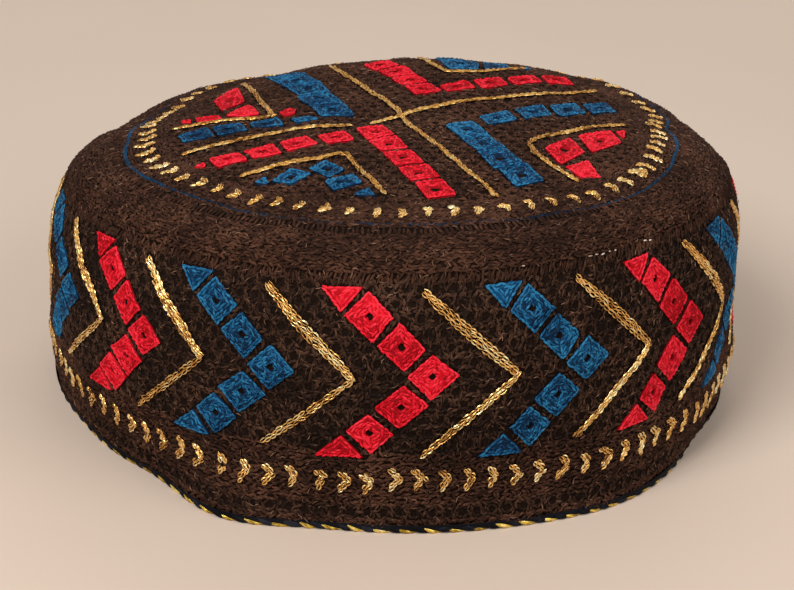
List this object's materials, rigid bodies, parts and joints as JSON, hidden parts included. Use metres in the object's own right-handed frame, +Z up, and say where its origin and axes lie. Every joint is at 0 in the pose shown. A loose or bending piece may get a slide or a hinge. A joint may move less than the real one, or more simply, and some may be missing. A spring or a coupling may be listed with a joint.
{
  "type": "embroidered cap",
  "caption": "Round brimless cap of thick embroidered cloth: upright side band, low domed crown, overcast seam and a whipped rim edging around the open underside.",
  "frame": {"origin": "centre of the cap's box, on the plane of its rim", "axes": "+Z up from the rim towards the crown, -Y towards the front that the picture shows, +X to the right in the picture"},
  "size_m": [0.1958, 0.1934, 0.0812],
  "materials": {
    "edging_thread": "matt whipped thread, gold and navy",
    "band_embroidery": "matt chain-stitch embroidery, brown ground with red, blue and gold",
    "seam_thread": "matt overcast thread",
    "crown_embroidery": "matt chain-stitch embroidery, brown ground with red, blue and gold"
  },
  "bodies": {
    "root": {"rim_edging": "edging_thread", "side_band": "band_embroidery", "crown_seam": "seam_thread", "crown": "crown_embroidery"}
  },
  "joints": []
}
